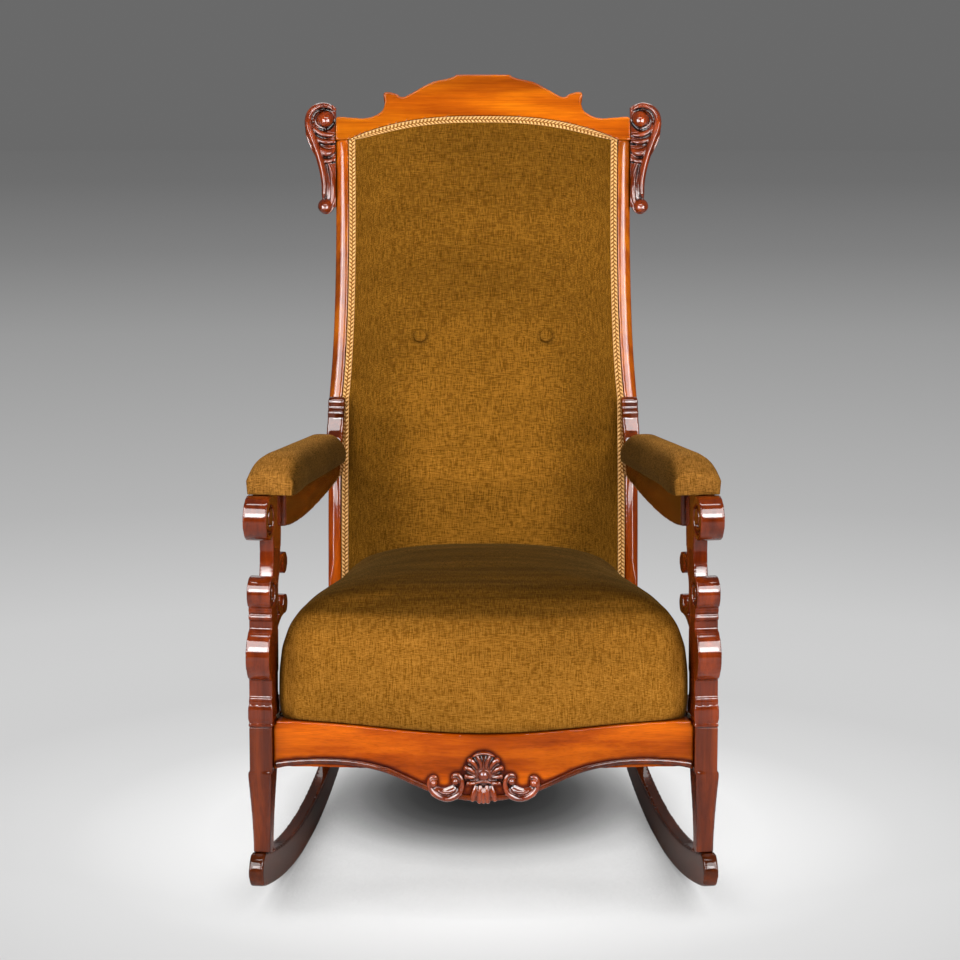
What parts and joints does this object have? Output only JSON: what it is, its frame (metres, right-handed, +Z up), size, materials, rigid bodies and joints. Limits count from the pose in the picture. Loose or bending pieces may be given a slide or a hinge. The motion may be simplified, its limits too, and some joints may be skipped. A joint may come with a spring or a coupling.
{
  "type": "rocking chair",
  "caption": "Show-wood rocking armchair on two curved runners, with scrolled arm supports, a carved crest and apron, and a velvet seat, back and arm pads",
  "frame": {"origin": "on the floor, in the middle of the chair's width and of its length", "axes": "+Z up, the chair faces -Y, +X to the right as seen from the front"},
  "size_m": [0.5958, 0.8846, 1.0746],
  "materials": {
    "walnut": "polished red-brown walnut under a glossy film finish",
    "dark_walnut": "dark stained walnut, glossy on the high places, dull in the carving's grooves",
    "beech": "plain unfinished frame wood",
    "velvet": "olive-gold cotton velvet with a short pile and a fine crosshatch",
    "braid": "woven golden gimp braid with a zigzag cord",
    "jute": "plain woven jute webbing and hessian",
    "steel": "plain drawn wire and turned screws"
  },
  "bodies": {
    "root": {"rocker_left": "dark_walnut", "rocker_right": "dark_walnut", "front_leg_left": "walnut", "front_leg_right": "walnut", "rocker_pegs": "beech", "back_post_left": "walnut", "back_post_right": "walnut", "front_rail": "walnut", "side_rail_left": "walnut", "side_rail_right": "walnut", "back_seat_rail": "beech", "corner_blocks": "beech", "corner_screws": "steel", "apron_bead": "dark_walnut", "apron_shell": "dark_walnut", "apron_scroll_left": "dark_walnut", "apron_scroll_right": "dark_walnut", "lower_back_rail": "beech", "crest_rail": "walnut", "ear_scroll_left": "dark_walnut", "ear_scroll_right": "dark_walnut", "arm_support_left": "dark_walnut", "arm_support_right": "dark_walnut", "support_bracket_left": "dark_walnut", "support_bracket_right": "dark_walnut", "arm_left": "walnut", "arm_right": "walnut", "arm_screws": "steel", "arm_pad_left": "velvet", "arm_pad_right": "velvet", "seat_cushion": "velvet", "seat_hessian": "jute", "seat_springs": "steel", "seat_webbing": "jute", "back_pad": "velvet", "back_hessian": "jute", "back_webbing": "jute", "outside_back": "velvet", "back_gimp": "braid", "back_button_left": "velvet", "back_button_right": "velvet"}
  },
  "joints": []
}
